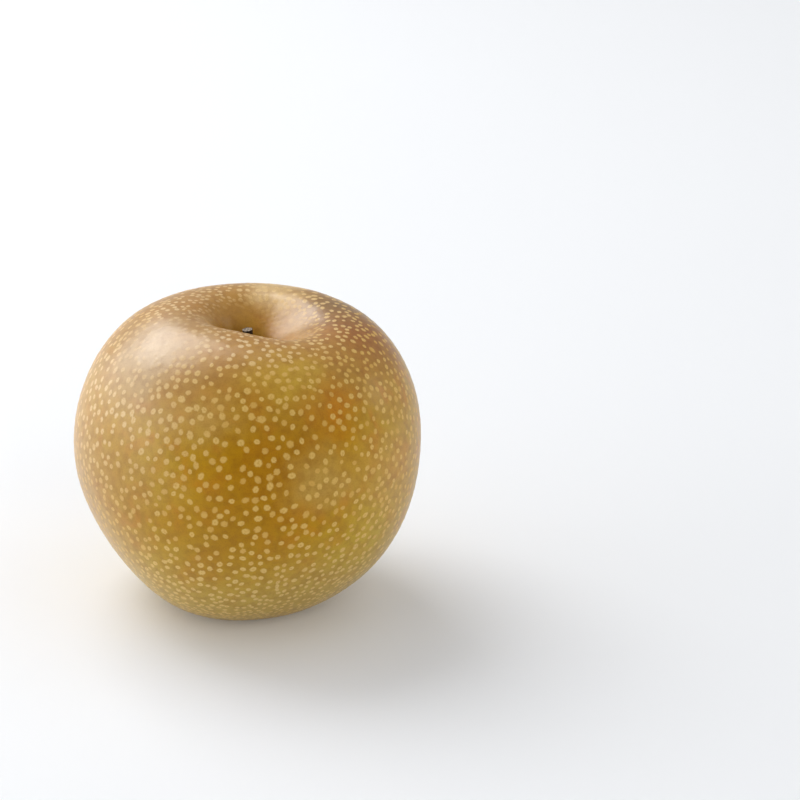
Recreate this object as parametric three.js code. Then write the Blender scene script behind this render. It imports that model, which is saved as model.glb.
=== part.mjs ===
// A nashi pear (Pyrus pyrifolia) standing on its blossom end, with the clipped stub of its stem.
// Millimetres, +Z up. The foot lies on z = 0 and the origin is under the middle of the fruit.
// Azimuths run anticlockwise from +X, seen from above, and -Y is the side that faces the viewer.
import * as THREE from "three";
import { mergeVertices } from "three/addons/utils/BufferGeometryUtils.js";

// Fruit: the driving sizes of its meridian, from the blossom end up to the stem cavity
const BELLY_RADIUS = 47.5;
const BELLY_HEIGHT = 46;
const SHOULDER_RADIUS = 18.3;
const SHOULDER_HEIGHT = 82.5;
const FOOT_INNER_RADIUS = 14;
const FOOT_OUTER_RADIUS = 18;
const BASIN_DEPTH = 5.5;
const CALYX_PIT_RADIUS = 2.6;
const CALYX_PIT_DEPTH = 1.2;
const CAVITY_DEPTH = 16.5;
const THROAT_RADIUS = 5;
const THROAT_DEPTH = 14;
const THROAT_FLARE = 2;

// How full each stretch of the meridian is: a handle's length as a share of the distance that it spans
const PIT_FULLNESS = 0.4;
const BASIN_FULLNESS = 0.38;
const FOOT_FULLNESS = 0.27;
const BELLY_FULLNESS_BELOW = 0.62;
const BELLY_FULLNESS_ABOVE = 0.475;
const SHOULDER_FULLNESS = 0.64;
const CAVITY_FULLNESS = 0.65;
const THROAT_FULLNESS = 0.45;
const FLOOR_FULLNESS = 0.5;

// What grew unevenly: lobes of the lower flank, the stem cavity's rim, its wall and the blossom-end basin.
// Each has a number of lobes round the fruit, a height in mm and the azimuth of one crest in degrees.
// A count of 0 is the same all round. The wall's lobes make its right side gentler and groove its back.
const FLANK_LOBES = [
  { count: 3, height: 0.85, azimuth: 7 },
  { count: 4, height: 0.85, azimuth: -22 },
  { count: 5, height: 0.3, azimuth: 32 },
];
const RIM_LOBES = [
  { count: 1, height: 1.15, azimuth: 198 },
  { count: 2, height: 0.5, azimuth: 42 },
];
const WALL_LOBES = [
  { count: 0, height: -1.65, azimuth: 0 },
  { count: 1, height: 2.2, azimuth: 208 },
  { count: 2, height: 0.55, azimuth: 118 },
  { count: 3, height: 0.6, azimuth: -95 },
];
const BASIN_LOBES = [{ count: 5, height: 0.45, azimuth: 32 }];
const FLANK_LOBE_SKEW = 0.75;
// The share of the wall's lobes that acts at the rim, how fast it fades outside it, and how it grows inside
const WALL_SHARE_AT_RIM = 0.45;
const WALL_FADE = 12;
const WALL_RISE = 4.7;
// Sideways lean of the fruit's axis from the foot to the shoulder
const LEAN = 1.9;

// Stem: a clipped stub that stands in a plain socket in the cavity floor
const STEM_BASE_RADIUS = 1.7;
const STEM_RADIUS = 1.2;
const STEM_TIP_RADIUS = 1.35;
const STEM_TIP_HEIGHT = 77.9;
const STEM_WAIST_HEIGHT = 71;
const STEM_BEND = -0.65;
const STEM_CUT_SLOPE = 0.1;
const SOCKET_DEPTH = 3;
const SOCKET_GAP = 0.3;

// Facets: sides round each piece and steps along each stretch of a meridian
const FRUIT_SIDES = 60;
const STEM_SIDES = 16;
const PIT_STEPS = 3;
const BASIN_STEPS = 8;
const FLANK_STEPS = 14;
const CAVITY_STEPS = 10;
const FLOOR_STEPS = 4;
const STEM_STEPS = 6;
const MERGE_DISTANCE = 1e-4;

const SKIN = { color: 0xb18d45, roughness: 0.42, metalness: 0 };
const BARK = { color: 0x4a3826, roughness: 0.9, metalness: 0 };

const CAVITY_FLOOR = SHOULDER_HEIGHT - CAVITY_DEPTH;
const SOCKET_RADIUS = STEM_BASE_RADIUS + SOCKET_GAP;
const SOCKET_FLOOR = CAVITY_FLOOR - SOCKET_DEPTH;
const STEM_ROOT_HEIGHT = SOCKET_FLOOR + SOCKET_GAP;

const smooth = (t) => t * t * (3 - 2 * t);
const noLobes = () => ({});

// One stretch of a meridian: a cubic curve through [radius, height] points, cut into equal steps.
// weigh(t) says how strongly each kind of lobe acts at t along it.
function stretch(points, steps, weigh = noLobes) {
  const curve = new THREE.CubicBezierCurve(...points.map(([r, z]) => new THREE.Vector2(r, z)));
  return curve.getPoints(steps).map((point, i) => ({ point, weights: weigh(i / steps) }));
}

// A stretch that leaves its start and reaches its end upright.
function swell(start, end, steps) {
  const between = (start[1] + end[1]) / 2;
  return stretch([start, [start[0], between], [end[0], between], end], steps);
}

// A straight line from one point to the next, with none between.
function edge(start, end) {
  return stretch([start, start, end, end], 1);
}

// Stretches end to end, without the points that they share.
function join(...stretches) {
  return stretches.flatMap((samples, i) => (i === 0 ? samples : samples.slice(1)));
}

// The dry scar of the flower and the basin round it, from the axis out to the foot.
function blossomEnd(footInner) {
  const pitFloor = [0, BASIN_DEPTH + CALYX_PIT_DEPTH];
  const pitEdge = [CALYX_PIT_RADIUS, BASIN_DEPTH];
  const pitHandle = PIT_FULLNESS * CALYX_PIT_RADIUS;
  const basinHandle = BASIN_FULLNESS * (FOOT_INNER_RADIUS - CALYX_PIT_RADIUS);
  return join(
    stretch(
      [pitFloor, [pitHandle, pitFloor[1]], [CALYX_PIT_RADIUS - pitHandle, BASIN_DEPTH], pitEdge],
      PIT_STEPS,
    ),
    stretch(
      [
        pitEdge,
        [CALYX_PIT_RADIUS + basinHandle, BASIN_DEPTH],
        [FOOT_INNER_RADIUS - basinHandle, 0],
        footInner,
      ],
      BASIN_STEPS,
      (t) => ({ basin: Math.sin(Math.PI * t) }),
    ),
  );
}

// The outer skin, from the foot up over the belly to the shoulder.
function flank(footOuter, shoulder) {
  const belly = [BELLY_RADIUS, BELLY_HEIGHT];
  const crownHeight = SHOULDER_HEIGHT - BELLY_HEIGHT;
  return join(
    stretch(
      [
        footOuter,
        [FOOT_OUTER_RADIUS + FOOT_FULLNESS * (BELLY_RADIUS - FOOT_OUTER_RADIUS), 0],
        [BELLY_RADIUS, BELLY_HEIGHT * (1 - BELLY_FULLNESS_BELOW)],
        belly,
      ],
      FLANK_STEPS,
      (t) => ({ flank: Math.sin(Math.PI * (1 - t) ** FLANK_LOBE_SKEW) ** 2 }),
    ),
    stretch(
      [
        belly,
        [BELLY_RADIUS, BELLY_HEIGHT + BELLY_FULLNESS_ABOVE * crownHeight],
        [SHOULDER_RADIUS + SHOULDER_FULLNESS * (BELLY_RADIUS - SHOULDER_RADIUS), SHOULDER_HEIGHT],
        shoulder,
      ],
      FLANK_STEPS,
      (t) => ({ rim: smooth(t), wall: WALL_SHARE_AT_RIM * t ** WALL_FADE }),
    ),
  );
}

// The stem cavity, from the shoulder down its funnel and throat to the edge of the stem's socket.
function stemCavity(shoulder, floorEdge) {
  const throat = [THROAT_RADIUS, SHOULDER_HEIGHT - THROAT_DEPTH];
  const rise = THROAT_FULLNESS * THROAT_DEPTH;
  const below = (CAVITY_DEPTH - THROAT_DEPTH) / THROAT_DEPTH;
  return join(
    stretch(
      [
        shoulder,
        [SHOULDER_RADIUS - CAVITY_FULLNESS * (SHOULDER_RADIUS - THROAT_RADIUS), SHOULDER_HEIGHT],
        [THROAT_RADIUS + THROAT_FLARE, throat[1] + rise],
        throat,
      ],
      CAVITY_STEPS,
      (t) => ({ rim: smooth(1 - t), wall: (WALL_SHARE_AT_RIM + WALL_RISE * t) * (1 - t) ** 2 }),
    ),
    stretch(
      [
        throat,
        [THROAT_RADIUS - THROAT_FLARE * below, throat[1] - rise * below],
        [SOCKET_RADIUS + FLOOR_FULLNESS * (THROAT_RADIUS - SOCKET_RADIUS), CAVITY_FLOOR],
        floorEdge,
      ],
      FLOOR_STEPS,
    ),
  );
}

// The fruit's meridian, from the calyx pit under it to the floor of the stem's socket.
function fruitMeridian() {
  const footInner = [FOOT_INNER_RADIUS, 0];
  const footOuter = [FOOT_OUTER_RADIUS, 0];
  const shoulder = [SHOULDER_RADIUS, SHOULDER_HEIGHT];
  const floorEdge = [SOCKET_RADIUS, CAVITY_FLOOR];
  const socketEdge = [SOCKET_RADIUS, SOCKET_FLOOR];
  return join(
    blossomEnd(footInner),
    edge(footInner, footOuter),
    flank(footOuter, shoulder),
    stemCavity(shoulder, floorEdge),
    edge(floorEdge, socketEdge),
    edge(socketEdge, [0, SOCKET_FLOOR]),
  );
}

// The stem's meridian: a wider root, a waist, and the thicker clipped end.
function stemMeridian() {
  const root = [STEM_BASE_RADIUS, STEM_ROOT_HEIGHT];
  const waist = [STEM_RADIUS, STEM_WAIST_HEIGHT];
  const tip = [STEM_TIP_RADIUS, STEM_TIP_HEIGHT];
  return join(
    edge([0, STEM_ROOT_HEIGHT], root),
    swell(root, waist, STEM_STEPS),
    swell(waist, tip, STEM_STEPS),
    edge(tip, [0, STEM_TIP_HEIGHT]),
  );
}

// Height of a set of lobes at an azimuth.
function lobeHeight(lobes, azimuth) {
  const crest = ({ count, azimuth: at }) => Math.cos(count * (azimuth - THREE.MathUtils.degToRad(at)));
  return lobes.reduce((sum, lobe) => sum + lobe.height * crest(lobe), 0);
}

// Sideways lean of the fruit's axis at a height, nothing at the foot.
const leanAt = (height) => LEAN * (height / SHOULDER_HEIGHT) ** 2;

// Turns a meridian about Z, then moves each point with place(sample, azimuth), which returns x, y and z.
function turned(meridian, sides, place) {
  const profile = meridian.map((sample) => sample.point);
  const lathe = new THREE.LatheGeometry(profile, sides);
  const position = lathe.getAttribute("position");
  const uv = lathe.getAttribute("uv");
  for (let i = 0; i < position.count; i++) {
    const sample = meridian[Math.round(uv.getY(i) * (meridian.length - 1))];
    const azimuth = uv.getX(i) * 2 * Math.PI;
    position.setXYZ(i, ...place(sample, azimuth));
  }
  lathe.deleteAttribute("normal");
  lathe.deleteAttribute("uv");
  const merged = mergeVertices(lathe, MERGE_DISTANCE);
  merged.computeVertexNormals();
  return merged;
}

function fruitGeometry() {
  return turned(fruitMeridian(), FRUIT_SIDES, ({ point, weights }, azimuth) => {
    const { flank = 0, rim = 0, wall = 0, basin = 0 } = weights;
    const radius =
      point.x + flank * lobeHeight(FLANK_LOBES, azimuth) + basin * lobeHeight(BASIN_LOBES, azimuth);
    const height = point.y + rim * lobeHeight(RIM_LOBES, azimuth) + wall * lobeHeight(WALL_LOBES, azimuth);
    return [radius * Math.cos(azimuth) + leanAt(point.y), radius * Math.sin(azimuth), height];
  });
}

function stemGeometry() {
  return turned(stemMeridian(), STEM_SIDES, ({ point }, azimuth) => {
    const along = (point.y - STEM_ROOT_HEIGHT) / (STEM_TIP_HEIGHT - STEM_ROOT_HEIGHT);
    const x = point.x * Math.cos(azimuth);
    const cut = smooth(along) * STEM_CUT_SLOPE * x;
    return [x + leanAt(CAVITY_FLOOR) + STEM_BEND * along ** 2, point.x * Math.sin(azimuth), point.y + cut];
  });
}

function piece(name, geometry, finish) {
  const mesh = new THREE.Mesh(geometry, new THREE.MeshStandardMaterial(finish));
  mesh.name = name;
  return mesh;
}

const fruit = piece("fruit", fruitGeometry(), SKIN);
const stem = piece("stem", stemGeometry(), BARK);

// The fruit leans, so the pair is shifted to stand with the middle of the fruit over the origin.
const nashi = new THREE.Group();
nashi.add(fruit, stem);
fruit.geometry.computeBoundingBox();
const middle = fruit.geometry.boundingBox.getCenter(new THREE.Vector3());
for (const mesh of nashi.children) {
  mesh.position.set(-middle.x, -middle.y, 0);
}

export default nashi;
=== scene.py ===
import math

import bpy
import numpy as np
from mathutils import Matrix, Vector, noise
from mathutils.geometry import delaunay_2d_cdt
from mathutils.kdtree import KDTree


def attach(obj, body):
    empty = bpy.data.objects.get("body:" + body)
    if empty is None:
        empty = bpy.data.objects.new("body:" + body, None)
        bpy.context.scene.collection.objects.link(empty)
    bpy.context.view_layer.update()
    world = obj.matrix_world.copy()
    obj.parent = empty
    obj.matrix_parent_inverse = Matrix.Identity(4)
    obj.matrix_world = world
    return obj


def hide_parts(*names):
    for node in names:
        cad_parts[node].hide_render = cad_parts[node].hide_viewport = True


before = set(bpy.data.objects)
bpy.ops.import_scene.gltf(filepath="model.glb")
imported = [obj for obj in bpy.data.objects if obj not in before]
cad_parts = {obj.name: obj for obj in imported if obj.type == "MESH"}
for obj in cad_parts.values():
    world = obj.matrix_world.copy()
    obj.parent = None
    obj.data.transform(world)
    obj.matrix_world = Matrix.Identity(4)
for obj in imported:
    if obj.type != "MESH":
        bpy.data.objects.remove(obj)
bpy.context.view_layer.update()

MM = 0.001
SEED = 7

# The fruit's meridian: the sizes of the solid
BELLY_RADIUS = 47.5
BELLY_HEIGHT = 46
SHOULDER_RADIUS = 18.3
SHOULDER_HEIGHT = 82.5
FOOT_INNER_RADIUS = 14
FOOT_OUTER_RADIUS = 18
BASIN_DEPTH = 5.5
CALYX_PIT_RADIUS = 2.6
CALYX_PIT_DEPTH = 1.2
CAVITY_DEPTH = 16.5
THROAT_RADIUS = 5
THROAT_DEPTH = 14
THROAT_FLARE = 2
FLOOR_RADIUS = 2
FLOOR_DIP = 0.6
CAVITY_FLOOR = SHOULDER_HEIGHT - CAVITY_DEPTH

# How full each stretch of the meridian is: a handle's length as a share of the distance that it spans
PIT_FULLNESS = 0.4
BASIN_FULLNESS = 0.38
FOOT_FULLNESS = 0.27
BELLY_FULLNESS_BELOW = 0.62
BELLY_FULLNESS_ABOVE = 0.475
SHOULDER_FULLNESS = 0.64
CAVITY_FULLNESS = 0.65
THROAT_FULLNESS = 0.45
FLOOR_FULLNESS = 0.5
STRETCH_STEPS = 300

# Lobes of the flank, the cavity's rim and wall, and the basin: count, height and the azimuth of a crest
LOBES = {
    "flank": [(3, 0.85, 7), (4, 0.85, -22), (5, 0.3, 32)],
    "rim": [(1, 1.15, 198), (2, 0.5, 42)],
    "wall": [(0, -1.65, 0), (1, 2.2, 208), (2, 0.55, 118), (3, 0.6, -95)],
    "basin": [(5, 0.45, 32)],
}
FLANK_LOBE_SKEW = 0.75
WALL_SHARE_AT_RIM = 0.45
WALL_FADE = 12
WALL_RISE = 4.7
LEAN = 1.9

# Lenticels: their mean spacing and diameter on the belly, and how those shrink towards both ends.
# GROWTH gives the share of the belly's spacing at heights on the outer skin, and in the cavity and basin.
# Diameters follow it by a power, vary by a spread, and are limited by a share of the gap to the next one.
# CLEARANCE is the least gap as a share of the spacing, and a few twins come closer.
# In front the skin has swelled, so they are larger and sparser and its wax is thin: the place's azimuth and
# height, its reach, and the share by which they are larger.
SPACING = 3.05
DIAMETER = 2.3
GROWTH_HEIGHTS = (0, 10, 26, 64, 80)
GROWTH_SHARES = (0.6, 0.7, 0.94, 1.0, 0.86)
GROWTH_IN_CAVITY = 0.48
GROWTH_IN_BASIN = 0.5
SIZE_FOLLOWS_GROWTH = 0.4
SIZE_SPREAD = 0.13
SIZE_LIMITS = (0.55, 1.5)
FIT_SHARE = 0.6
CLEARANCE = 0.68
TWIN_CLEARANCE = 0.52
TWIN_SHARE = 0.05
SWELL_AT = (-82, 52)
SWELL_REACH = 42
SWELL_SHARE = 0.18
STRETCH_LIMIT = 0.35
BARE_RADIUS = 6
LENTICELS_TRIED = 3

# Mesh: rings of points round each lenticel as shares of its radius, and the points that fill the rest
RINGS = ((0.5, 6), (1.0, 9))
FILL_SHARE = 0.09
FILL_FINEST = 0.35
FILL_COARSEST = 1.3
FILL_FEWEST = 6
FILL_MARGIN = 0.45
ROW_STEP = math.sqrt(3) / 2
POINT_GAP = 0.14
FAR_FROM_LENTICEL = 2.0

# Relief: height of the lenticels, and of the skin's slow unevenness
LENTICEL_RELIEF = 0.05
WAVE_HEIGHT = 0.1
WAVE_LENGTH = 13.0
LEVEL_FOOT = 0.3

# Stem: the sizes of the solid, and its radius at heights from the root to the clipped end
STEM_ROOT_HEIGHT = 63.3
STEM_TIP_HEIGHT = 77.9
STEM_BEND = -0.65
STEM_CUT_SLOPE = 0.1
STEM_HEIGHTS = (STEM_ROOT_HEIGHT, 66.5, 69.5, 71.5, 75.5, STEM_TIP_HEIGHT)
STEM_RADII = (1.7, 1.62, 1.3, 1.2, 1.25, 1.38)
STEM_SIDES = 48
STEM_RINGS = 60
STEM_CUT_RINGS = 6
WRINKLE_WIDTH = 0.45
WRINKLE_HEIGHT = 0.16
WRINKLE_FLATTENING = 0.12
CUT_GRAIN = 0.3
CUT_ROUGHNESS = 0.1

# Camera: where the fruit's middle falls in a picture of 800 by 800 pixels, and the focal length in pixels
IMAGE_PIXELS = 800
FOCAL_PIXELS = 4740
FRUIT_PIXEL = (245.3, 446.9)
FRUIT_MIDDLE = Vector((-0.6, 0, 43))
CAMERA_AZIMUTH = -90
CAMERA_ELEVATION = 24.1
CAMERA_DISTANCE = 1300
SENSOR_WIDTH = 36

# Light panels: name, azimuth, elevation, distance, width, height, and two radiances, where 1 is the floor's
# white: as a light, and as a mirror image on the skin. The fills are polarised, so they leave no image.
# The image's lamp stands a gap before the light's.
PANELS = (
    ("key", 130, 49, 1200, 900, 880, 3.2, 6.6),
    ("key_glow", 154, 25, 1300, 1200, 1100, 1.1, 2.8),
    ("left_card", -164, 16, 1200, 800, 600, 1.3, 2.7),
    ("right_card", 18, 16, 1200, 420, 420, 0.5, 1.8),
    ("right_fill", 0, 52, 1300, 1200, 900, 0.55, 0),
    ("front_fill", -58, 26, 1500, 1700, 1300, 1.2, 0),
)
LAMP_GAP = 20
# Radiance of the surroundings, and of their darker part on the camera's side: its azimuth and elevation,
# and how far from there it fades in and out, in degrees
SURROUNDINGS = 0.46
CAMERA_SIDE = 0.06
CAMERA_SIDE_TOWARDS = (-55, 20)
CAMERA_SIDE_FADE = (65, 25)
# Radiance of the board itself, which is lit from below as well
FLOOR_GLOW = 0.1
FLOOR_SIZE = 8000


def srgb(red, green, blue):
    """A colour as a screen shows it, 0 to 255, in the linear values that a shader takes."""
    share = np.array([red, green, blue]) / 255
    linear = np.where(share <= 0.04045, share / 12.92, ((share + 0.055) / 1.055) ** 2.4)
    return (*linear, 1.0)


# Noise: its middle value, its detail, and how far the noise of the soft patches is warped
NOISE_MIDDLE = 0.5
NOISE_DETAIL = 3.0
PATCH_WARP = 0.6

# Skin: gold that turns olive and reddish in soft patches, each with a size, limits in its noise and a share
GOLD = srgb(190, 144, 0)
OLIVE = srgb(188, 150, 16)
RED = srgb(200, 122, 0)
OLIVE_SIZE = 11.0
OLIVE_LIMITS = (0.45, 0.68)
OLIVE_SHARE = 0.6
RED_SIZE = 7.0
RED_LIMITS = (0.45, 0.68)
RED_SHARE = 0.5
RED_OFFSET = (40, 90, 15)
# The crown, round the stem cavity, is browner: its colour, the heights between which it comes in, its share
CROWN = srgb(176, 128, 56)
CROWN_HEIGHTS = (60.0, 82.0)
CROWN_SHARE = 0.85
# Towards the foot it is more olive
FOOT = srgb(191, 162, 68)
FOOT_HEIGHTS = (42.0, 12.0)
FOOT_SHARE = 0.75
# Patches where the skin ripened unevenly: azimuth, height, reach, colour and strength. The patches on the
# left shoulder, the cavity's back wall and the left side are painted highlight and sheen, and the one on the
# right rim is painted shade.
PATCHES = {
    "red shoulder": (-6, 80, 20, srgb(156, 88, 14), 0.8),
    "green crown": (-72, 77, 17, srgb(204, 166, 54), 0.8),
    "deep front": (-80, 55, 30, srgb(172, 118, 0), 0.95),
    "deep front below": (-95, 38, 22, srgb(172, 124, 0), 0.9),
    "orange front": (-58, 69, 13, srgb(200, 126, 0), 0.7),
    "green flank": (-46, 32, 18, srgb(198, 168, 34), 0.7),
    "pale left": (-126, 53, 15, srgb(198, 157, 58), 0.7),
    "pale right": (-38, 50, 22, srgb(201, 160, 70), 0.6),
    "hazy right": (-66, 52, 15, srgb(198, 162, 80), 0.7),
    "hazy left": (-108, 68, 14, srgb(196, 156, 80), 0.7),
    # painted highlight: a paler, cooler tint where the shoulder's highlight falls
    "shoulder highlight tint": (-148, 77, 28, srgb(182, 158, 122), 0.7),
    # painted shade: a darker tint on the right rim and the cavity's right wall
    "right rim shade": (26, 82, 20, srgb(134, 102, 58), 0.85),
    # painted highlight: a pale tint on the cavity's back wall, where it looks lit
    "back wall light": (74, 82, 13, srgb(218, 186, 130), 0.9),
    # painted sheen: a paler, less saturated tint over the left side, which faces the lights
    "left sheen": (-162, 41, 44, srgb(196, 155, 90), 0.8),
}
# Noise that moves the patches' edges: its size, and the distance between its extremes
PATCH_WANDER_SIZE = 9.0
PATCH_WANDER = 16.0
# Mottle and grain darken the skin in small flecks, and grain and peel roughen it
MOTTLE = srgb(214, 196, 170)
MOTTLE_SIZE = 2.6
MOTTLE_LIMITS = (0.35, 0.75)
MOTTLE_SHARE = 0.5
GRAIN = srgb(225, 210, 190)
GRAIN_SIZE = 0.4
GRAIN_LIMITS = (0.4, 0.8)
GRAIN_SHARE = 0.5
GRAIN_DEPTH = 0.008
PEEL_SIZE = 1.6
PEEL_DEPTH = 0.02
# The cavity is darker near the stem's foot, and the calyx leaves a dark ragged scar. A reach is a pair of
# distances between which something comes in.
CAVITY_SHADE = srgb(122, 80, 0)
CAVITY_SHADE_REACH = (16.0, 3.0)
CAVITY_SHADE_SHARE = 0.8
SCAR = srgb(70, 50, 34)
SCAR_REACH = (4.4, 2.8)
SCAR_RAGGED_SIZE = 0.9
# Dots: their colours by tone, towards the foot, and a paler tint above a height and on the left, which is
# painted sheen
DOT_DULL = srgb(211, 167, 80)
DOT_PALE = srgb(227, 191, 108)
DOT_FOOT = srgb(229, 203, 137)
DOT_SHEEN = srgb(227, 200, 154)
DOT_SHEEN_HEIGHTS = (77.0, 84.0)
DOT_SHEEN_AT = (-160, 68)
DOT_SHEEN_REACH = 50.0
# Some have a darker centre, and all have grain and a wandering edge, in shares of their radius
DOT_CENTRE = srgb(196, 146, 66)
DOT_CENTRE_REACH = (0.35, 0.1)
DOT_CENTRE_TONES = (0.5, 1.0)
DOT_CENTRE_SHARE = 0.5
DOT_GRAIN_SIZE = 0.45
DOT_GRAIN_LIMITS = (0.5, 0.7)
DOT_GRAIN_SHARE = 0.6
DOT_SHARE = 0.84
DOT_EDGE = (0.84, 0.5)
DOT_EDGE_SIZE = 0.5
DOT_EDGE_WANDER = 0.3
# They fade towards the stem's foot, and on the left shoulder as a painted highlight, where the shoulder's
# highlight washes them out
DOT_FADE_REACH = (15.0, 28.0)
DOT_HIGHLIGHT_FADE_AT = (-146, 80)
DOT_HIGHLIGHT_FADE_REACH = 23.0
# Shine: the skin is satin under a thin coat of wax, which is lost towards the stem's foot and on the dots
SKIN_ROUGHNESS = 0.36
SKIN_ROUGHNESS_SPREAD = 0.1
DOT_ROUGHER = 0.06
SCAR_ROUGHER = 0.4
SKIN_SPECULAR = 0.14
COAT_WEIGHT = 0.5
COAT_REACH = (6.0, 21.0)
DOT_COAT_LOSS = 0.6
COAT_ROUGHNESS = 0.3

# Stem and floor colours
BARK_DARK = srgb(20, 14, 10)
BARK_PALE = srgb(56, 40, 28)
WOOD_DARK = srgb(40, 30, 24)
WOOD_PALE = srgb(160, 140, 116)
STREAK_LIMITS = (0.35, 0.7)
FLECK_LIMITS = (0.35, 0.65)
BARK_ROUGHNESS = 0.75
BARK_DEPTH = 0.05
FLOOR_DULL = srgb(226, 228, 231)
FLOOR_PALE = srgb(230, 232, 235)
FLOOR_CLOUD_SIZE = 300.0
FLOOR_ROUGHNESS = 0.7


def smooth(t):
    return t * t * (3 - 2 * t)


def stretch(points, **weights):
    """A cubic stretch of the meridian: rows of radius, height and the weight of each kind of lobe."""
    t = np.linspace(0, 1, STRETCH_STEPS)
    a, b, c, d = (np.array(point, float)[:, None] for point in points)
    curve = (1 - t) ** 3 * a + 3 * (1 - t) ** 2 * t * b + 3 * (1 - t) * t**2 * c + t**3 * d
    lobes = [weights[kind](t) if kind in weights else np.zeros_like(t) for kind in LOBES]
    return np.vstack([curve, lobes])


def fruit_meridian():
    """The whole meridian, from the calyx pit under the fruit to the cavity floor under the stem."""
    pit_top = BASIN_DEPTH + CALYX_PIT_DEPTH
    pit_handle = PIT_FULLNESS * CALYX_PIT_RADIUS
    basin_handle = BASIN_FULLNESS * (FOOT_INNER_RADIUS - CALYX_PIT_RADIUS)
    foot_handle = FOOT_FULLNESS * (BELLY_RADIUS - FOOT_OUTER_RADIUS)
    crown_handle = BELLY_FULLNESS_ABOVE * (SHOULDER_HEIGHT - BELLY_HEIGHT)
    shoulder_handle = SHOULDER_FULLNESS * (BELLY_RADIUS - SHOULDER_RADIUS)
    cavity_handle = CAVITY_FULLNESS * (SHOULDER_RADIUS - THROAT_RADIUS)
    throat_height = SHOULDER_HEIGHT - THROAT_DEPTH
    rise = THROAT_FULLNESS * THROAT_DEPTH
    below = (CAVITY_DEPTH - THROAT_DEPTH) / THROAT_DEPTH
    floor_handle = FLOOR_FULLNESS * (THROAT_RADIUS - FLOOR_RADIUS)

    pit_floor = (0, pit_top)
    pit_edge = (CALYX_PIT_RADIUS, BASIN_DEPTH)
    foot_inner = (FOOT_INNER_RADIUS, 0)
    foot_outer = (FOOT_OUTER_RADIUS, 0)
    belly = (BELLY_RADIUS, BELLY_HEIGHT)
    shoulder = (SHOULDER_RADIUS, SHOULDER_HEIGHT)
    throat = (THROAT_RADIUS, throat_height)
    floor_edge = (FLOOR_RADIUS, CAVITY_FLOOR)
    dip = CAVITY_FLOOR - FLOOR_DIP
    stretches = [
        stretch(
            [pit_floor, (pit_handle, pit_top), (CALYX_PIT_RADIUS - pit_handle, BASIN_DEPTH), pit_edge]
        ),
        stretch(
            [
                pit_edge,
                (CALYX_PIT_RADIUS + basin_handle, BASIN_DEPTH),
                (FOOT_INNER_RADIUS - basin_handle, 0),
                foot_inner,
            ],
            basin=lambda t: np.sin(np.pi * t),
        ),
        stretch([foot_inner, foot_inner, foot_outer, foot_outer]),
        stretch(
            [
                foot_outer,
                (FOOT_OUTER_RADIUS + foot_handle, 0),
                (BELLY_RADIUS, BELLY_HEIGHT * (1 - BELLY_FULLNESS_BELOW)),
                belly,
            ],
            flank=lambda t: np.sin(np.pi * (1 - t) ** FLANK_LOBE_SKEW) ** 2,
        ),
        stretch(
            [
                belly,
                (BELLY_RADIUS, BELLY_HEIGHT + crown_handle),
                (SHOULDER_RADIUS + shoulder_handle, SHOULDER_HEIGHT),
                shoulder,
            ],
            rim=smooth,
            wall=lambda t: WALL_SHARE_AT_RIM * t**WALL_FADE,
        ),
        stretch(
            [
                shoulder,
                (SHOULDER_RADIUS - cavity_handle, SHOULDER_HEIGHT),
                (THROAT_RADIUS + THROAT_FLARE, throat_height + rise),
                throat,
            ],
            rim=lambda t: smooth(1 - t),
            wall=lambda t: (WALL_SHARE_AT_RIM + WALL_RISE * t) * (1 - t) ** 2,
        ),
        stretch(
            [
                throat,
                (THROAT_RADIUS - THROAT_FLARE * below, throat_height - rise * below),
                (FLOOR_RADIUS + floor_handle, CAVITY_FLOOR),
                floor_edge,
            ]
        ),
        stretch([floor_edge, (FLOOR_RADIUS / 2, CAVITY_FLOOR), (FLOOR_RADIUS / 2, dip), (0, dip)]),
    ]
    return np.hstack([stretches[0]] + [part[:, 1:] for part in stretches[1:]])


def lobe_height(lobes, azimuth):
    return sum(height * np.cos(count * (azimuth - math.radians(crest))) for count, height, crest in lobes)


def axis_at(height):
    """X of the fruit's leaning axis at a height, where the belly's middle is at 0."""
    return LEAN * (height**2 - BELLY_HEIGHT**2) / SHOULDER_HEIGHT**2


class Surface:
    """The fruit's surface over its length along the meridian and its azimuth.

    rank is the length along the meridian measured in radii, so equal steps of rank and azimuth are square.
    """

    def __init__(self):
        self.rows = fruit_meridian()
        radius, height = self.rows[:2]
        step = np.hypot(np.diff(radius), np.diff(height))
        middle = (radius[1:] + radius[:-1]) / 2
        self.length = np.concatenate([[0], np.cumsum(step)])
        self.rank = np.concatenate([[0], np.cumsum(step / middle)])
        self.shoulder_length = self.length[np.argmax(height)]
        self.foot_length = self.length[np.argmin(height)]

    def at_length(self, length):
        """Rank, radius and height at a length along the meridian."""
        return [np.interp(length, self.length, row) for row in (self.rank, *self.rows[:2])]

    def place(self, rank, azimuth):
        """Points of the surface, in the fruit's own frame."""
        radius, height, *weights = (np.interp(rank, self.rank, row) for row in self.rows)
        lobes = {kind: weight * lobe_height(LOBES[kind], azimuth) for kind, weight in zip(LOBES, weights)}
        radius = radius + lobes["flank"] + lobes["basin"]
        x = radius * np.cos(azimuth) + axis_at(height)
        z = height + lobes["rim"] + lobes["wall"]
        return np.stack([x, radius * np.sin(azimuth), z], axis=-1)

    def outer_point(self, azimuth, height):
        """The point of the outer skin at an azimuth in degrees and a height."""
        outer = (self.length >= self.foot_length) & (self.length <= self.shoulder_length)
        rank = np.interp(height, self.rows[1][outer], self.rank[outer])
        return tuple(self.place(rank, math.radians(azimuth)))


def growth_at(surface, length, height):
    """How far the skin has stretched at a place, as a share of the belly's growth."""
    share = np.interp(height, GROWTH_HEIGHTS, GROWTH_SHARES)
    in_cavity = (share + GROWTH_IN_CAVITY) / 2
    share = np.where(length > surface.shoulder_length, in_cavity, share)
    return np.where(length < surface.foot_length, GROWTH_IN_BASIN, share)


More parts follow.
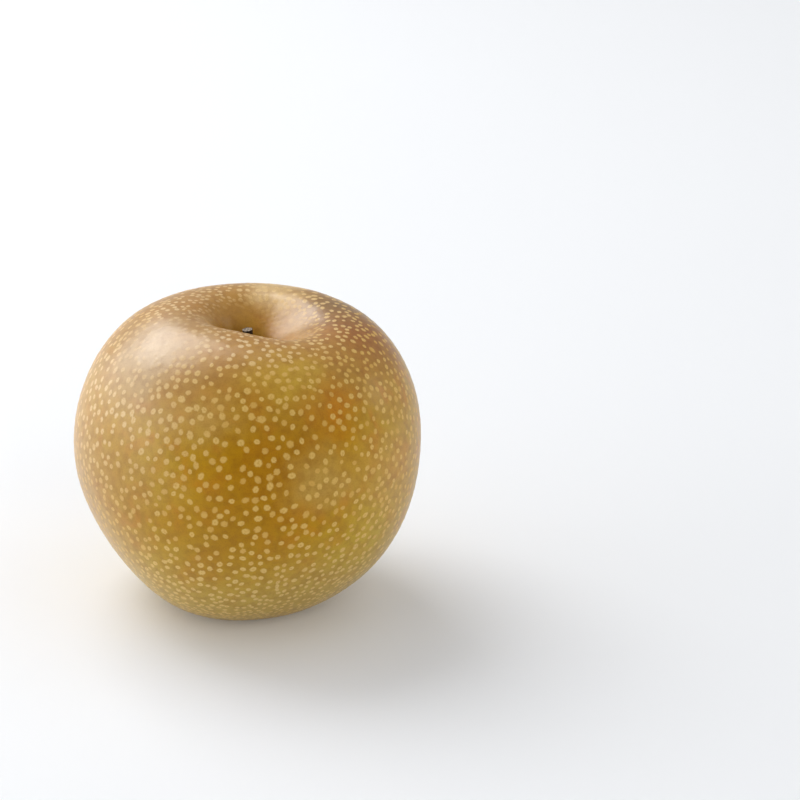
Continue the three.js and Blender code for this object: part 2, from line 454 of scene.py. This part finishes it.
class Lenticels:
    """The corky dots of the skin, scattered with room round each, apart from a few that grew together."""

    def __init__(self, surface, rng):
        self.surface = surface
        length = (surface.length[1:] + surface.length[:-1]) / 2
        rank, radius, height = surface.at_length(length)
        growth = growth_at(surface, length, height)
        area = 2 * np.pi * radius * np.diff(surface.length)
        wanted = np.where(radius > BARE_RADIUS, area / (SPACING * growth) ** 2, 0)
        chance = wanted / wanted.sum()
        found, cells = [], {}
        total = int(wanted.sum())
        swell_point = surface.outer_point(*SWELL_AT)
        while len(found) < total:
            i = rng.choice(len(length), p=chance)
            azimuth = rng.uniform(-np.pi, np.pi)
            point = surface.place(rank[i], azimuth)
            swell = 1 + SWELL_SHARE * smooth(max(0, 1 - math.dist(point, swell_point) / SWELL_REACH))
            room = (TWIN_CLEARANCE if rng.random() < TWIN_SHARE else CLEARANCE) * SPACING * growth[i] * swell
            if rng.random() < 1 / swell**2 and claim(cells, point, room):
                found.append((rank[i], azimuth, swell * growth[i] ** SIZE_FOLLOWS_GROWTH))
        self.rank, self.azimuth, size = np.array(found).T
        size *= np.clip(np.exp(rng.normal(0, SIZE_SPREAD, total)), *SIZE_LIMITS)
        points = surface.place(self.rank, self.azimuth)
        self.tree = tree_of(points)
        gap = [self.tree.find_n(point, 2)[1][2] for point in points]
        self.radius = np.minimum(size * DIAMETER / 2, FIT_SHARE * np.array(gap))
        self.stretch = np.sqrt(1 + rng.uniform(0, STRETCH_LIMIT, total))
        self.turn = rng.uniform(0, np.pi, total)
        self.tone = rng.random(total)
        self.turn_radius = np.interp(self.rank, surface.rank, surface.rows[0])

    def nearest(self, rank, azimuth):
        """Each place's distance from the nearest lenticel as a share of its radius, and which one it is."""
        points = self.surface.place(rank, azimuth)
        near = np.array([[i for _, i, _ in self.tree.find_n(p, LENTICELS_TRIED)] for p in points])
        east = np.mod(azimuth[:, None] - self.azimuth[near] + np.pi, 2 * np.pi) - np.pi
        east *= self.turn_radius[near]
        north = (rank[:, None] - self.rank[near]) * self.turn_radius[near]
        cos, sin = np.cos(self.turn[near]), np.sin(self.turn[near])
        along = (east * cos + north * sin) / self.stretch[near]
        across = (north * cos - east * sin) * self.stretch[near]
        share = np.hypot(along, across) / self.radius[near]
        best = np.argmin(share, axis=1)[:, None]
        return np.take_along_axis(share, best, 1)[:, 0], np.take_along_axis(near, best, 1)[:, 0]

    def ring(self, share, count, rng):
        """Ranks and azimuths of a ring of points round every lenticel."""
        start = rng.random((len(self.rank), 1))
        angle = (np.arange(count) + start) * 2 * np.pi / count
        along = np.cos(angle) * (share * self.radius * self.stretch)[:, None]
        across = np.sin(angle) * (share * self.radius / self.stretch)[:, None]
        cos, sin = np.cos(self.turn)[:, None], np.sin(self.turn)[:, None]
        radius = self.turn_radius[:, None]
        rank = self.rank[:, None] + (along * sin + across * cos) / radius
        azimuth = self.azimuth[:, None] + (along * cos - across * sin) / radius
        return rank.ravel(), azimuth.ravel()


def claim(cells, point, room):
    """Whether no point in the cells is nearer than room. If so, the point joins them."""
    home = tuple(int(c // SPACING) for c in point)
    steps = (-1, 0, 1)
    near = [(home[0] + i, home[1] + j, home[2] + k) for i in steps for j in steps for k in steps]
    if any(math.dist(point, other) < room for cell in near for other in cells.get(cell, ())):
        return False
    cells.setdefault(home, []).append(point)
    return True


def tree_of(points):
    tree = KDTree(len(points))
    for i, point in enumerate(points):
        tree.insert(point, i)
    tree.balance()
    return tree


def filler(surface, rng):
    """Ranks and azimuths of rows of points that cover the whole surface, finer where it is narrow."""
    rank, azimuth = [], []
    length = FILL_FINEST
    while length < surface.length[-1] - FILL_FINEST:
        row_rank, radius, _ = surface.at_length(length)
        gap = np.clip(FILL_SHARE * radius, FILL_FINEST, FILL_COARSEST)
        count = max(FILL_FEWEST, round(2 * np.pi * radius / gap))
        azimuth.append((np.arange(count) + rng.random()) * 2 * np.pi / count - np.pi)
        rank.append(np.full(count, row_rank))
        length += gap * ROW_STEP
    return np.concatenate(rank), np.concatenate(azimuth)


def skin_places(surface, lenticels, rng):
    """Ranks and azimuths of all the skin's points but its two ends, with none too close to another."""
    rings = [lenticels.ring(share, count, rng) for share, count in RINGS]
    rank, azimuth = filler(surface, rng)
    share, nearest = lenticels.nearest(rank, azimuth)
    clear = (share - RINGS[-1][0]) * lenticels.radius[nearest] > FILL_MARGIN
    places = [(lenticels.rank, lenticels.azimuth), *rings, (rank[clear], azimuth[clear])]
    rank, azimuth = (np.concatenate(column) for column in zip(*places))
    points = surface.place(rank, azimuth)
    crowd = tree_of(points)
    keep = np.ones(len(points), bool)
    for k, point in enumerate(points):
        if keep[k]:
            for _, i, _ in crowd.find_range(point, POINT_GAP):
                keep[i] &= i <= k
    return rank[keep], azimuth[keep]


def triangles(rank, azimuth):
    """Triangles over the places, the blossom end (next index) and the stem end (the one after that).

    The places are laid out in a plane round the blossom end, which keeps small shapes. The stem end is far
    outside it and closes the border of the plane's triangles.
    """
    reach = np.exp(rank - rank.mean())
    plane = [Vector(p) for p in np.stack([reach * np.cos(azimuth), reach * np.sin(azimuth)], axis=-1)]
    faces = delaunay_2d_cdt(plane + [Vector((0, 0))], [], [], 0, 0)[2]
    edges = {(a, b) for f in faces for a, b in zip(f, f[1:] + f[:1])}
    stem_end = len(plane) + 1
    faces = [f[::-1] for f in faces]
    return faces + [(a, b, stem_end) for a, b in edges if (b, a) not in edges]


def mesh_object(name, points, faces):
    """A smooth-shaded mesh object of points in millimetres."""
    mesh = bpy.data.meshes.new(name)
    mesh.from_pydata([tuple(p) for p in np.asarray(points) * MM], [], faces)
    mesh.shade_smooth()
    made = bpy.data.objects.new(name, mesh)
    bpy.context.scene.collection.objects.link(made)
    return made


def set_attribute(obj, name, values):
    attribute = obj.data.attributes.new(name, "FLOAT", "POINT")
    attribute.data.foreach_set("value", np.asarray(values, np.float32))


def raise_surface(obj, heights):
    """Moves each point of a mesh along its normal by a height in millimetres."""
    count = len(obj.data.vertices)
    points = np.empty(count * 3, np.float32)
    normals = np.empty(count * 3, np.float32)
    obj.data.vertices.foreach_get("co", points)
    obj.data.vertex_normals.foreach_get("vector", normals)
    moved = points.reshape(-1, 3) + normals.reshape(-1, 3) * np.asarray(heights)[:, None] * MM
    obj.data.vertices.foreach_set("co", moved.astype(np.float32).ravel())
    obj.data.update()


def skin_piece(surface, rng):
    """The fruit's skin as one closed mesh, which stores how near each point is to a lenticel."""
    lenticels = Lenticels(surface, rng)
    rank, azimuth = skin_places(surface, lenticels, rng)
    faces = triangles(rank, azimuth)
    rank = np.append(rank, [surface.rank[0], surface.rank[-1]])
    azimuth = np.append(azimuth, [0, 0])
    points = surface.place(rank, azimuth)
    share, nearest = lenticels.nearest(rank, azimuth)

    skin = mesh_object("skin", points, faces)
    set_attribute(skin, "lenticel", np.minimum(share, FAR_FROM_LENTICEL))
    set_attribute(skin, "tone", lenticels.tone[nearest])
    dome = smooth(np.clip(1 - share / RINGS[-1][0], 0, 1))
    off_floor = smooth(np.clip(points[:, 2] / LEVEL_FOOT, 0, 1))
    wave = np.array([noise.noise(Vector(p) / WAVE_LENGTH) for p in points])
    raise_surface(skin, off_floor * (LENTICEL_RELIEF * dome + WAVE_HEIGHT * wave))
    return skin


def stem_piece():
    """The clipped stub of the stem as one closed mesh, wrinkled along its length, with a rough cut end."""
    along = np.concatenate([np.linspace(0, 1, STEM_RINGS), np.ones(STEM_CUT_RINGS)])
    inward = np.concatenate([np.ones(STEM_RINGS), np.linspace(1, 0, STEM_CUT_RINGS + 2)[1:-1]])
    height = STEM_ROOT_HEIGHT + along * (STEM_TIP_HEIGHT - STEM_ROOT_HEIGHT)
    radius = np.interp(height, STEM_HEIGHTS, STEM_RADII) * inward
    azimuth = np.arange(STEM_SIDES) * 2 * np.pi / STEM_SIDES
    along, height, radius = (np.repeat(row, STEM_SIDES) for row in (along, height, radius))
    azimuth = np.tile(azimuth, len(inward))
    x = radius * np.cos(azimuth)
    axis_x = axis_at(CAVITY_FLOOR) + STEM_BEND * along**2
    z = height + smooth(along) * STEM_CUT_SLOPE * x
    points = np.stack([x + axis_x, radius * np.sin(azimuth), z], axis=-1)
    ends = [(axis_x[0], 0, STEM_ROOT_HEIGHT), (axis_x[-1], 0, STEM_TIP_HEIGHT)]

    rings = len(inward)
    corner = np.arange(rings * STEM_SIDES).reshape(rings, STEM_SIDES)
    after = np.roll(corner, -1, axis=1)
    faces = [
        (corner[i, j], after[i, j], after[i + 1, j], corner[i + 1, j])
        for i in range(rings - 1)
        for j in range(STEM_SIDES)
    ]
    bottom, top = rings * STEM_SIDES, rings * STEM_SIDES + 1
    faces += [(after[0, j], corner[0, j], bottom) for j in range(STEM_SIDES)]
    faces += [(corner[-1, j], after[-1, j], top) for j in range(STEM_SIDES)]
    stem = mesh_object("stem_stub", np.vstack([points, ends]), [tuple(map(int, f)) for f in faces])

    cut = np.repeat(np.arange(rings) >= STEM_RINGS, STEM_SIDES)
    set_attribute(stem, "cut", np.append(cut, [0, 1]))
    wrinkle = [noise.noise(Vector((p[0], p[1], p[2] * WRINKLE_FLATTENING)) / WRINKLE_WIDTH) for p in points]
    rough = [noise.noise(Vector(p) / CUT_GRAIN) for p in points]
    heights = np.where(cut, CUT_ROUGHNESS * np.array(rough), WRINKLE_HEIGHT * np.array(wrinkle))
    raise_surface(stem, np.append(heights, [0, 0]))
    return stem


class Shader:
    """A material whose nodes are added by short calls that return their output sockets."""

    def __init__(self, name):
        self.material = bpy.data.materials.new(name)
        self.material.use_nodes = True
        self.tree = self.material.node_tree
        self.surface = self.tree.nodes["Principled BSDF"]
        place = self.add("ShaderNodeTexCoord", {}, "Object")
        self.place = self.vector("DIVIDE", place, [MM] * 3)

    def add(self, kind, inputs, output=0, **settings):
        made = self.tree.nodes.new(kind)
        for name, value in settings.items():
            setattr(made, name, value)
        for key, value in inputs.items():
            self.put(made.inputs[key], value)
        return made.outputs[output]

    def put(self, socket, value):
        """Gives an input a value, or links it to an output."""
        if isinstance(value, bpy.types.NodeSocket):
            self.tree.links.new(value, socket)
        else:
            socket.default_value = value

    def attribute(self, name):
        return self.add("ShaderNodeAttribute", {}, "Fac", attribute_name=name)

    def noise(self, size, place=None, warp=0.0, output=0):
        """Noise from 0 to 1 with features of a size in millimetres."""
        inputs = {"Vector": place or self.place, "Scale": 1 / size, "Detail": NOISE_DETAIL}
        return self.add("ShaderNodeTexNoise", {**inputs, "Distortion": warp}, output)

    def ramp(self, value, low, high, top=1.0):
        """0 where the value is at low, rising smoothly to top where it is at high."""
        inputs = {"Value": value, "From Min": low, "From Max": high, "To Max": top}
        return self.add("ShaderNodeMapRange", inputs, interpolation_type="SMOOTHSTEP")

    def math(self, operation, first, second):
        return self.add("ShaderNodeMath", {0: first, 1: second}, operation=operation)

    def mix(self, share, first, second, blend="MIX"):
        inputs = {"Factor": share, 6: first, 7: second}
        return self.add("ShaderNodeMix", inputs, 2, data_type="RGBA", blend_type=blend)

    def vector(self, operation, first, second):
        return self.add("ShaderNodeVectorMath", {0: first, 1: second}, operation=operation)

    def distance(self, place, point):
        return self.add("ShaderNodeVectorMath", {0: place, 1: point}, "Value", operation="DISTANCE")

    def bump(self, height, depth, normal=None):
        """Normals for a height from 0 to 1 that stands for a depth in millimetres."""
        inputs = {"Height": height, "Strength": 1.0, "Distance": depth * MM}
        if normal:
            inputs["Normal"] = normal
        return self.add("ShaderNodeBump", inputs)

    def finish(self, **inputs):
        for name, value in inputs.items():
            self.put(self.surface.inputs[name.replace("_", " ")], value)
        return self.material


def skin_material(surface):
    """Russet skin: golden brown that turns olive and reddish in soft patches, with pale corky dots."""
    shader = Shader("skin")
    olive = shader.ramp(shader.noise(OLIVE_SIZE, warp=PATCH_WARP), *OLIVE_LIMITS, OLIVE_SHARE)
    colour = shader.mix(olive, GOLD, OLIVE)
    drift = shader.vector("ADD", shader.place, RED_OFFSET)
    red = shader.ramp(shader.noise(RED_SIZE, drift, PATCH_WARP), *RED_LIMITS, RED_SHARE)
    colour = shader.mix(red, colour, RED)

    height = shader.add("ShaderNodeSeparateXYZ", {0: shader.place}, "Z")
    colour = shader.mix(shader.ramp(height, *CROWN_HEIGHTS, CROWN_SHARE), colour, CROWN)
    foot = shader.ramp(height, *FOOT_HEIGHTS, FOOT_SHARE)
    colour = shader.mix(foot, colour, FOOT)

    wander = shader.noise(PATCH_WANDER_SIZE, output="Color")
    wander = shader.vector("SUBTRACT", wander, [NOISE_MIDDLE] * 3)
    wander = shader.vector("MULTIPLY", wander, [PATCH_WANDER] * 3)
    wandered = shader.vector("ADD", shader.place, wander)
    for azimuth, level, reach, tint, strength in PATCHES.values():
        distance = shader.distance(wandered, surface.outer_point(azimuth, level))
        colour = shader.mix(shader.ramp(distance, reach, 0, strength), colour, tint)

    mottle = shader.noise(MOTTLE_SIZE)
    colour = shader.mix(shader.ramp(mottle, *MOTTLE_LIMITS, MOTTLE_SHARE), colour, MOTTLE, "MULTIPLY")
    grain = shader.noise(GRAIN_SIZE)
    colour = shader.mix(shader.ramp(grain, *GRAIN_LIMITS, GRAIN_SHARE), colour, GRAIN, "MULTIPLY")

    stem_foot = shader.distance(shader.place, (axis_at(CAVITY_FLOOR), 0, CAVITY_FLOOR))
    colour = shader.mix(shader.ramp(stem_foot, *CAVITY_SHADE_REACH, CAVITY_SHADE_SHARE), colour, CAVITY_SHADE)
    calyx = shader.distance(shader.place, (axis_at(0), 0, BASIN_DEPTH + CALYX_PIT_DEPTH))
    ragged = shader.math("ADD", calyx, shader.noise(SCAR_RAGGED_SIZE))
    scar = shader.ramp(ragged, *SCAR_REACH)
    colour = shader.mix(scar, colour, SCAR)

    edge = shader.math("SUBTRACT", shader.noise(DOT_EDGE_SIZE), NOISE_MIDDLE)
    near = shader.math("ADD", shader.attribute("lenticel"), shader.math("MULTIPLY", edge, DOT_EDGE_WANDER))
    dot = shader.ramp(near, *DOT_EDGE)
    tone = shader.attribute("tone")
    # painted sheen: the dots turn paler and whiter on the top and on the left side
    sheen_side = shader.distance(shader.place, surface.outer_point(*DOT_SHEEN_AT))
    sheen_side = shader.ramp(sheen_side, DOT_SHEEN_REACH, 0)
    dot_sheen = shader.math("MAXIMUM", shader.ramp(height, *DOT_SHEEN_HEIGHTS), sheen_side)
    dot_colour = shader.mix(foot, shader.mix(tone, DOT_DULL, DOT_PALE), DOT_FOOT)
    dot_colour = shader.mix(dot_sheen, dot_colour, DOT_SHEEN)
    hollow = shader.ramp(tone, *DOT_CENTRE_TONES, DOT_CENTRE_SHARE)
    centre = shader.math("MULTIPLY", shader.ramp(near, *DOT_CENTRE_REACH), hollow)
    dot_colour = shader.mix(centre, dot_colour, DOT_CENTRE)
    dot_grain = shader.ramp(shader.noise(DOT_GRAIN_SIZE), *DOT_GRAIN_LIMITS, DOT_GRAIN_SHARE)
    dot_colour = shader.mix(dot_grain, dot_colour, DOT_CENTRE)
    dot = shader.math("MULTIPLY", dot, shader.ramp(stem_foot, *DOT_FADE_REACH, DOT_SHARE))
    # painted highlight: the dots fade where the shoulder's highlight washes them out
    highlight_fade = shader.distance(wandered, surface.outer_point(*DOT_HIGHLIGHT_FADE_AT))
    dot = shader.math("MULTIPLY", dot, shader.ramp(highlight_fade, 0, DOT_HIGHLIGHT_FADE_REACH))
    colour = shader.mix(dot, colour, dot_colour)

    rough = shader.math("ADD", SKIN_ROUGHNESS, shader.math("MULTIPLY", mottle, SKIN_ROUGHNESS_SPREAD))
    rough = shader.math("ADD", rough, shader.math("MULTIPLY", dot, DOT_ROUGHER))
    rough = shader.math("ADD", rough, shader.math("MULTIPLY", scar, SCAR_ROUGHER))
    swell = shader.distance(shader.place, surface.outer_point(*SWELL_AT))
    coat = shader.math("MULTIPLY", shader.ramp(swell, 0, SWELL_REACH), COAT_WEIGHT)
    coat = shader.math("MULTIPLY", coat, shader.ramp(stem_foot, *COAT_REACH))
    shine = shader.math("SUBTRACT", 1, shader.math("MULTIPLY", dot, DOT_COAT_LOSS))
    normal = shader.bump(grain, GRAIN_DEPTH, shader.bump(shader.noise(PEEL_SIZE), PEEL_DEPTH))
    return shader.finish(
        Base_Color=colour,
        Roughness=rough,
        Specular_IOR_Level=SKIN_SPECULAR,
        Normal=normal,
        Coat_Weight=shader.math("MULTIPLY", coat, shine),
        Coat_Roughness=COAT_ROUGHNESS,
    )


def stem_material():
    """Dry bark with streaks along the stem, and paler wood on the clipped end."""
    shader = Shader("stem")
    along = shader.vector("MULTIPLY", shader.place, (1, 1, WRINKLE_FLATTENING))
    streak = shader.noise(WRINKLE_WIDTH, along)
    bark = shader.mix(shader.ramp(streak, *STREAK_LIMITS), BARK_DARK, BARK_PALE)
    fleck = shader.noise(CUT_GRAIN)
    wood = shader.mix(shader.ramp(fleck, *FLECK_LIMITS), WOOD_DARK, WOOD_PALE)
    colour = shader.mix(shader.ramp(shader.attribute("cut"), 0, 1), bark, wood)
    return shader.finish(Base_Color=colour, Roughness=BARK_ROUGHNESS, Normal=shader.bump(fleck, BARK_DEPTH))


def floor_material():
    """Matt white board, very slightly uneven in tone."""
    shader = Shader("floor")
    cloud = shader.noise(FLOOR_CLOUD_SIZE)
    colour = shader.mix(cloud, FLOOR_DULL, FLOOR_PALE)
    return shader.finish(
        Base_Color=colour, Roughness=FLOOR_ROUGHNESS, Emission_Color=colour, Emission_Strength=FLOOR_GLOW
    )


def direction(azimuth, elevation):
    """Unit vector towards an azimuth and elevation in degrees."""
    azimuth, elevation = math.radians(azimuth), math.radians(elevation)
    level = math.cos(elevation)
    return Vector((level * math.cos(azimuth), level * math.sin(azimuth), math.sin(elevation)))


def panel_light(name, azimuth, elevation, distance, width, height, radiance, image_radiance):
    """A soft panel that faces the fruit: one lamp that lights it, and one just before it that it mirrors."""
    towards = direction(azimuth, elevation)
    uses = [("light", radiance, distance)]
    if image_radiance:
        uses.append(("image", image_radiance, distance - LAMP_GAP))
    for use, strength, reach in uses:
        light = bpy.data.lights.new(f"{name}_{use}", "AREA")
        light.shape = "RECTANGLE"
        light.size, light.size_y = width * MM, height * MM
        light.energy = strength * math.pi * light.size * light.size_y
        lamp = bpy.data.objects.new(light.name, light)
        lamp.location = (FRUIT_MIDDLE + towards * reach) * MM
        lamp.rotation_euler = towards.to_track_quat("Z", "Y").to_euler()
        lamp.visible_camera = False
        lamp.visible_diffuse = use == "light"
        lamp.visible_glossy = use == "image"
        bpy.context.scene.collection.objects.link(lamp)


def studio_world():
    """Even pale surroundings, apart from a darker part on the camera's side."""
    world = bpy.data.worlds.new("studio")
    world.use_nodes = True
    nodes, links = world.node_tree.nodes, world.node_tree.links
    towards = nodes.new("ShaderNodeTexCoord")
    share = nodes.new("ShaderNodeVectorMath")
    share.operation = "DOT_PRODUCT"
    share.inputs[1].default_value = direction(*CAMERA_SIDE_TOWARDS)
    strength = nodes.new("ShaderNodeMapRange")
    strength.interpolation_type = "SMOOTHSTEP"
    limits = [math.cos(math.radians(angle)) for angle in CAMERA_SIDE_FADE]
    names = ("From Min", "From Max", "To Min", "To Max")
    for name, value in zip(names, (*limits, SURROUNDINGS, CAMERA_SIDE)):
        strength.inputs[name].default_value = value
    links.new(towards.outputs["Generated"], share.inputs[0])
    links.new(share.outputs["Value"], strength.inputs["Value"])
    links.new(strength.outputs[0], nodes["Background"].inputs["Strength"])
    nodes["Background"].inputs["Color"].default_value = (1, 1, 1, 1)
    bpy.context.scene.world = world


def studio_camera():
    """A long lens at the photo's viewing angle, turned so that the fruit's middle falls on its pixel."""
    camera = bpy.data.cameras.new("camera")
    camera.sensor_width = SENSOR_WIDTH
    camera.lens = SENSOR_WIDTH * FOCAL_PIXELS / IMAGE_PIXELS
    holder = bpy.data.objects.new("camera", camera)
    back = direction(CAMERA_AZIMUTH, CAMERA_ELEVATION)
    holder.location = (FRUIT_MIDDLE + back * CAMERA_DISTANCE) * MM
    centre = IMAGE_PIXELS / 2
    ray = Vector((FRUIT_PIXEL[0] - centre, centre - FRUIT_PIXEL[1], -FOCAL_PIXELS))
    turn = ray.rotation_difference(Vector((0, 0, -1)))
    holder.rotation_euler = (back.to_track_quat("Z", "Y") @ turn).to_euler()
    bpy.context.scene.collection.objects.link(holder)
    bpy.context.scene.camera = holder


def floor_stage():
    half = FLOOR_SIZE / 2
    corners = [(-half, -half, 0), (half, -half, 0), (half, half, 0), (-half, half, 0)]
    floor = mesh_object("floor", corners, [(0, 1, 2, 3)])
    floor.data.materials.append(floor_material())


def dress(piece, node, material):
    piece.data.materials.append(material)
    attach(piece, "root")
    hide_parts(node)


surface = Surface()
dress(skin_piece(surface, np.random.default_rng(SEED)), "fruit", skin_material(surface))
dress(stem_piece(), "stem", stem_material())
floor_stage()
for panel in PANELS:
    panel_light(*panel)
studio_world()
studio_camera()
bpy.context.scene.view_settings.view_transform = "Standard"
